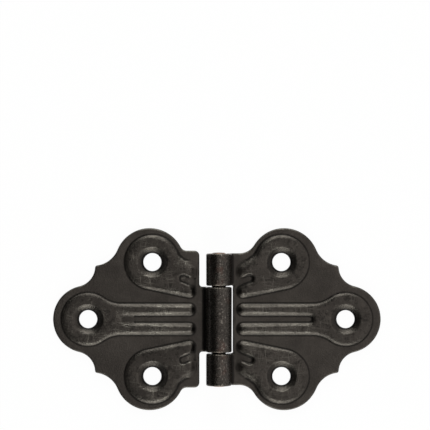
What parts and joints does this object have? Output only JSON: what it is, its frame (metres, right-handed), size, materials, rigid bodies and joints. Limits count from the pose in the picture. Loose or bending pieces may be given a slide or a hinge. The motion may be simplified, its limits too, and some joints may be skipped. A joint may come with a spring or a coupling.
{
  "type": "butterfly hinge",
  "caption": "Surface-mounted butterfly hinge of stamped steel with scalloped, embossed leaves and a rolled barrel on a plain pin, in a dark bronze finish.",
  "frame": {"origin": "on the mounting plane, under the middle of the barrel", "axes": "+X across the leaves, towards the leaf with two knuckles; +Y along the pin; +Z out of the front"},
  "size_m": [0.0761, 0.0422, 0.006],
  "materials": {
    "leaf_steel": "blackened bronze, satin",
    "pin_steel": "blackened bronze, worn at the ends"
  },
  "bodies": {
    "fixed_leaf": {"twin_knuckle_leaf": "leaf_steel", "hinge_pin": "pin_steel"},
    "swinging_leaf": {"center_knuckle_leaf": "leaf_steel"}
  },
  "joints": [
    {"name": "leaf_hinge", "type": "hinge", "parent": "fixed_leaf", "child": "swinging_leaf", "pos_m": [0, 0, 0.003], "axis": [0, 1, 0], "range_deg": [-90, 175]}
  ]
}
